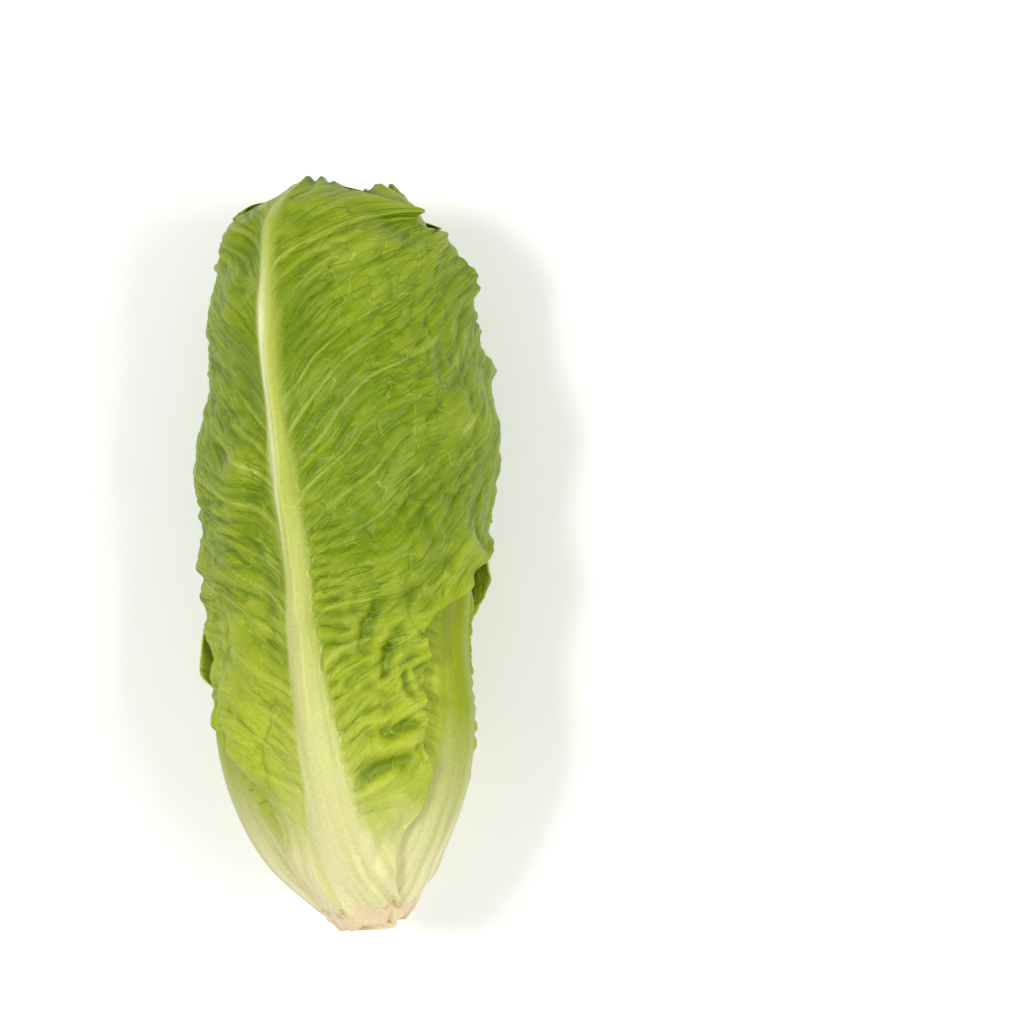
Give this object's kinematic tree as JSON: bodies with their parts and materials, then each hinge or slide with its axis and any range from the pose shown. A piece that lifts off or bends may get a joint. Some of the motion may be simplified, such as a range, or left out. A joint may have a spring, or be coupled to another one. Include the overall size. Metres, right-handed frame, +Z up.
{
  "type": "romaine lettuce head",
  "caption": "Head of romaine lettuce cut at the base and lying on its side: crinkled green leaves with broad pale ribs, closed round a yellow heart.",
  "frame": {"origin": "on the resting surface, under the centre of the head's length and width", "axes": "+Y along the head from the cut butt to the crown, +Z up from the surface it lies on, +X to the right as seen from above with the crown away from the viewer"},
  "size_m": [0.0757, 0.1798, 0.0708],
  "materials": {
    "outer_leaf": "fresh green leaf, softly glossy, crinkled, with a pale rib and veins",
    "inner_leaf": "paler yellow-green leaf, softly glossy, crinkled",
    "heart": "pale yellow young leaves, satin",
    "stem": "moist cream pith, browned where it was cut"
  },
  "bodies": {
    "root": {"stem": "stem", "heart": "heart", "leaf_01": "outer_leaf", "leaf_02": "outer_leaf", "leaf_03": "outer_leaf", "leaf_04": "outer_leaf", "leaf_05": "outer_leaf", "leaf_06": "inner_leaf", "leaf_07": "inner_leaf", "leaf_08": "inner_leaf", "leaf_09": "inner_leaf", "leaf_10": "inner_leaf", "leaf_11": "inner_leaf", "leaf_12": "inner_leaf", "leaf_13": "inner_leaf", "leaf_14": "inner_leaf"}
  },
  "joints": []
}
